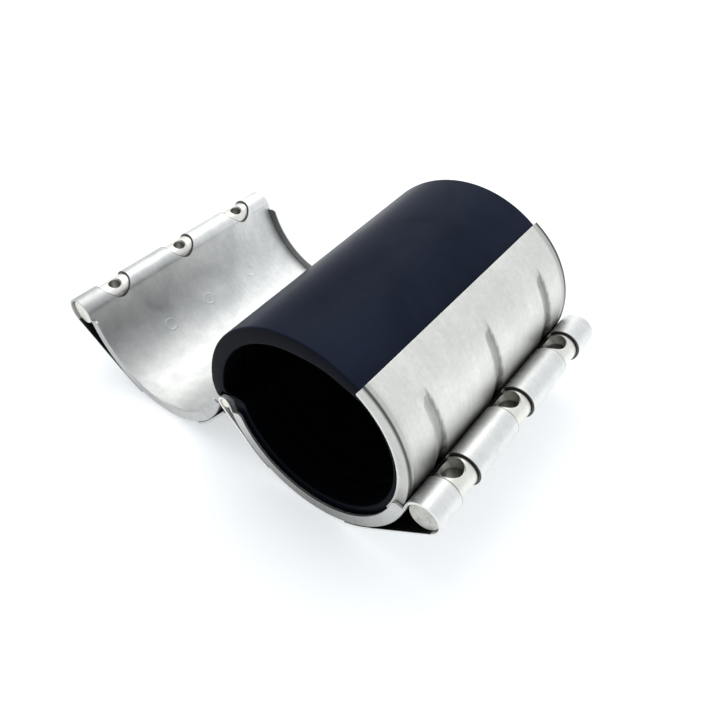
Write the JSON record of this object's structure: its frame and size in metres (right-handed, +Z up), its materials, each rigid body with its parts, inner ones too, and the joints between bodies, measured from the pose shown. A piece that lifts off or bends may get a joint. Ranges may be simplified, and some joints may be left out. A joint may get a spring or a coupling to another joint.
{
  "type": "pipe coupling",
  "caption": "Hinged two-part pipe repair coupling lying open: rolled sheet casing halves, rubber sealing sleeve, bridge plate over its slit and two round lock bars for clamping screws.",
  "frame": {"origin": "centre of the pipe bore, at mid length", "axes": "+Y along the pipe, +X from the hinge towards the lower screw line, +Z up with both casing halves resting on their backs"},
  "size_m": [0.2543, 0.155, 0.1102],
  "materials": {
    "stainless_sheet": "satin",
    "plate_sheet": "satin",
    "bar_steel": "machined",
    "pin_steel": "machined",
    "black_rubber": "satin"
  },
  "bodies": {
    "lower_half": {"lower_casing": "stainless_sheet", "hinge_pin": "pin_steel", "rubber_sleeve": "black_rubber"},
    "upper_half": {"upper_casing": "stainless_sheet"},
    "lower_bar": {"lower_lock_bar": "bar_steel"},
    "upper_bar": {"upper_lock_bar": "bar_steel"},
    "bridge": {"bridge_plate": "plate_sheet"}
  },
  "joints": [
    {"name": "casing_hinge", "type": "hinge", "parent": "lower_half", "child": "upper_half", "pos_m": [-0.05597, 0, -0.01542], "axis": [0, 1, 0], "range_deg": [-14, 149], "deforming": ["rubber_sleeve"]},
    {"name": "lower_bar_swivel", "type": "hinge", "parent": "lower_half", "child": "lower_bar", "pos_m": [0.06192, 0, -0.01204], "axis": [0, 1, 0], "continuous": true},
    {"name": "upper_bar_swivel", "type": "hinge", "parent": "upper_half", "child": "upper_bar", "pos_m": [-0.17385, 0, -0.01204], "axis": [0, 1, 0], "continuous": true},
    {"name": "bridge_plate_slide", "type": "hinge", "parent": "lower_half", "child": "bridge", "pos_m": [0, 0, 0], "axis": [0, 1, 0], "range_deg": [-4, 4]}
  ]
}
